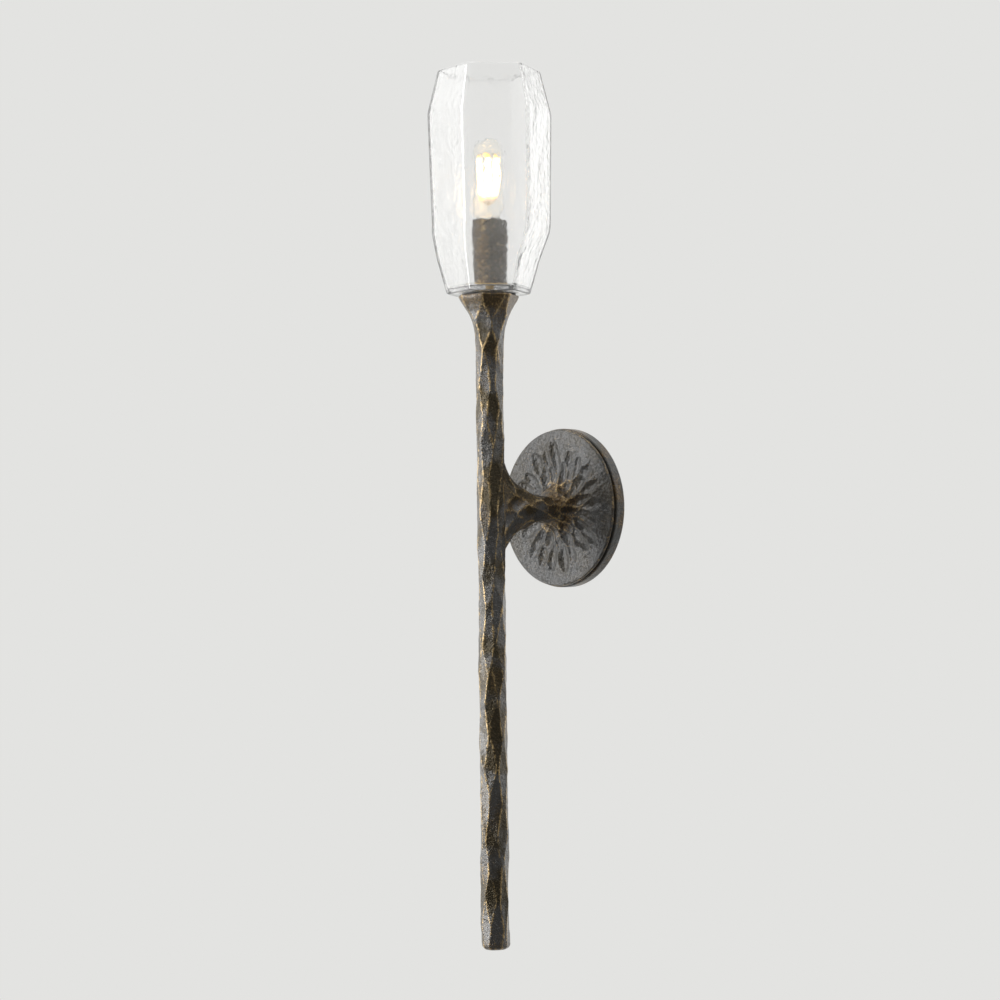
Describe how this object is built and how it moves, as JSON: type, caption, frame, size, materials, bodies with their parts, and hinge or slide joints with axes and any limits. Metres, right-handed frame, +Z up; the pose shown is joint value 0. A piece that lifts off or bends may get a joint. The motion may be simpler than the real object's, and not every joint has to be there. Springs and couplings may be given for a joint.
{
  "type": "torch wall sconce",
  "caption": "Torch-shaped wall light: a hammered stem and flared cup on a chiselled arm and round backplate, with a faceted clear glass shade round a candle sleeve and bulb.",
  "frame": {"origin": "centre of the mounting bracket on the wall plane", "axes": "+Z up along the torch stem, +Y into the wall, +X to the right as seen from the room"},
  "size_m": [0.127, 0.1286, 0.685],
  "materials": {
    "hammered_bronze": "dark bronze finish over a hammered and chiselled casting, with rubbed gold ridges",
    "cast_bronze_plate": "sand-textured dark bronze finish with chiselled rays",
    "zinc_steel": "bright zinc plate",
    "dark_steel": "black oxide",
    "green_screw": "green zinc plate",
    "tinned_copper": "tinned copper",
    "brass_tube": "plain threaded brass",
    "brass_fitting": "plain brass",
    "black_plastic": "matt",
    "gasket_rubber": "matt black rubber",
    "shade_glass": "clear hand-poured glass, rippled",
    "holder_plastic": "black phenolic resin",
    "sleeve_bronze": "rough-cast tube with a dark bronze finish",
    "solder_tip": "solder",
    "insulator_ceramic": "black glass insulator",
    "cap_brass": "bright brass",
    "bulb_glass": "clear",
    "filament_coating": "lit filament",
    "support_wire": "nickel-plated wire",
    "black_insulation": "matt",
    "white_insulation": "matt",
    "green_insulation": "matt"
  },
  "bodies": {
    "fixture": {"torch_stem": "hammered_bronze", "wall_arm": "hammered_bronze", "torch_cup": "hammered_bronze", "backplate": "cast_bronze_plate", "mounting_bracket": "zinc_steel", "rim_set_screws": "dark_steel", "earth_screw": "green_screw", "bracket_earth_lug": "tinned_copper", "arm_earth_lug": "tinned_copper", "arm_nipple": "brass_tube", "arm_lock_washer": "zinc_steel", "arm_nut": "brass_fitting", "nipple_bushing": "black_plastic", "lamp_nipple": "brass_tube", "shade_gasket": "gasket_rubber", "shade_washer": "brass_fitting", "shade_nut": "brass_fitting", "glass_shade": "shade_glass", "lampholder_strap": "zinc_steel", "strap_screws": "zinc_steel", "lampholder_body": "holder_plastic", "lampholder_screw_shell": "brass_fitting", "centre_contact": "brass_fitting", "contact_rivet": "brass_fitting", "live_lead": "black_insulation", "neutral_lead": "white_insulation", "earth_lead": "green_insulation", "tinned_lead_ends": "tinned_copper"},
    "sleeve": {"candle_sleeve": "sleeve_bronze"},
    "lamp_carriage": {"bulb_contact_tip": "solder_tip"},
    "lamp": {"bulb_insulator": "insulator_ceramic", "bulb_screw_cap": "cap_brass", "bulb_envelope": "bulb_glass", "bulb_glass_stem": "bulb_glass", "bulb_filaments": "filament_coating", "bulb_support_wires": "support_wire"}
  },
  "joints": [
    {"name": "sleeve_slide", "type": "slide", "parent": "fixture", "child": "sleeve", "axis": [0, 0, 1], "range_m": [0, 0.045]},
    {"name": "bulb_lift", "type": "slide", "parent": "fixture", "child": "lamp_carriage", "axis": [0, 0, 1], "range_m": [0, 0.0102]},
    {"name": "bulb_turn", "type": "hinge", "parent": "lamp_carriage", "child": "lamp", "pos_m": [0, -0.084, 0.2], "axis": [0, 0, 1], "range_deg": [0, 1440]}
  ],
  "couplings": [
    {"joint": "bulb_lift", "follows": "bulb_turn", "m_per_rad": 0.00040425}
  ]
}
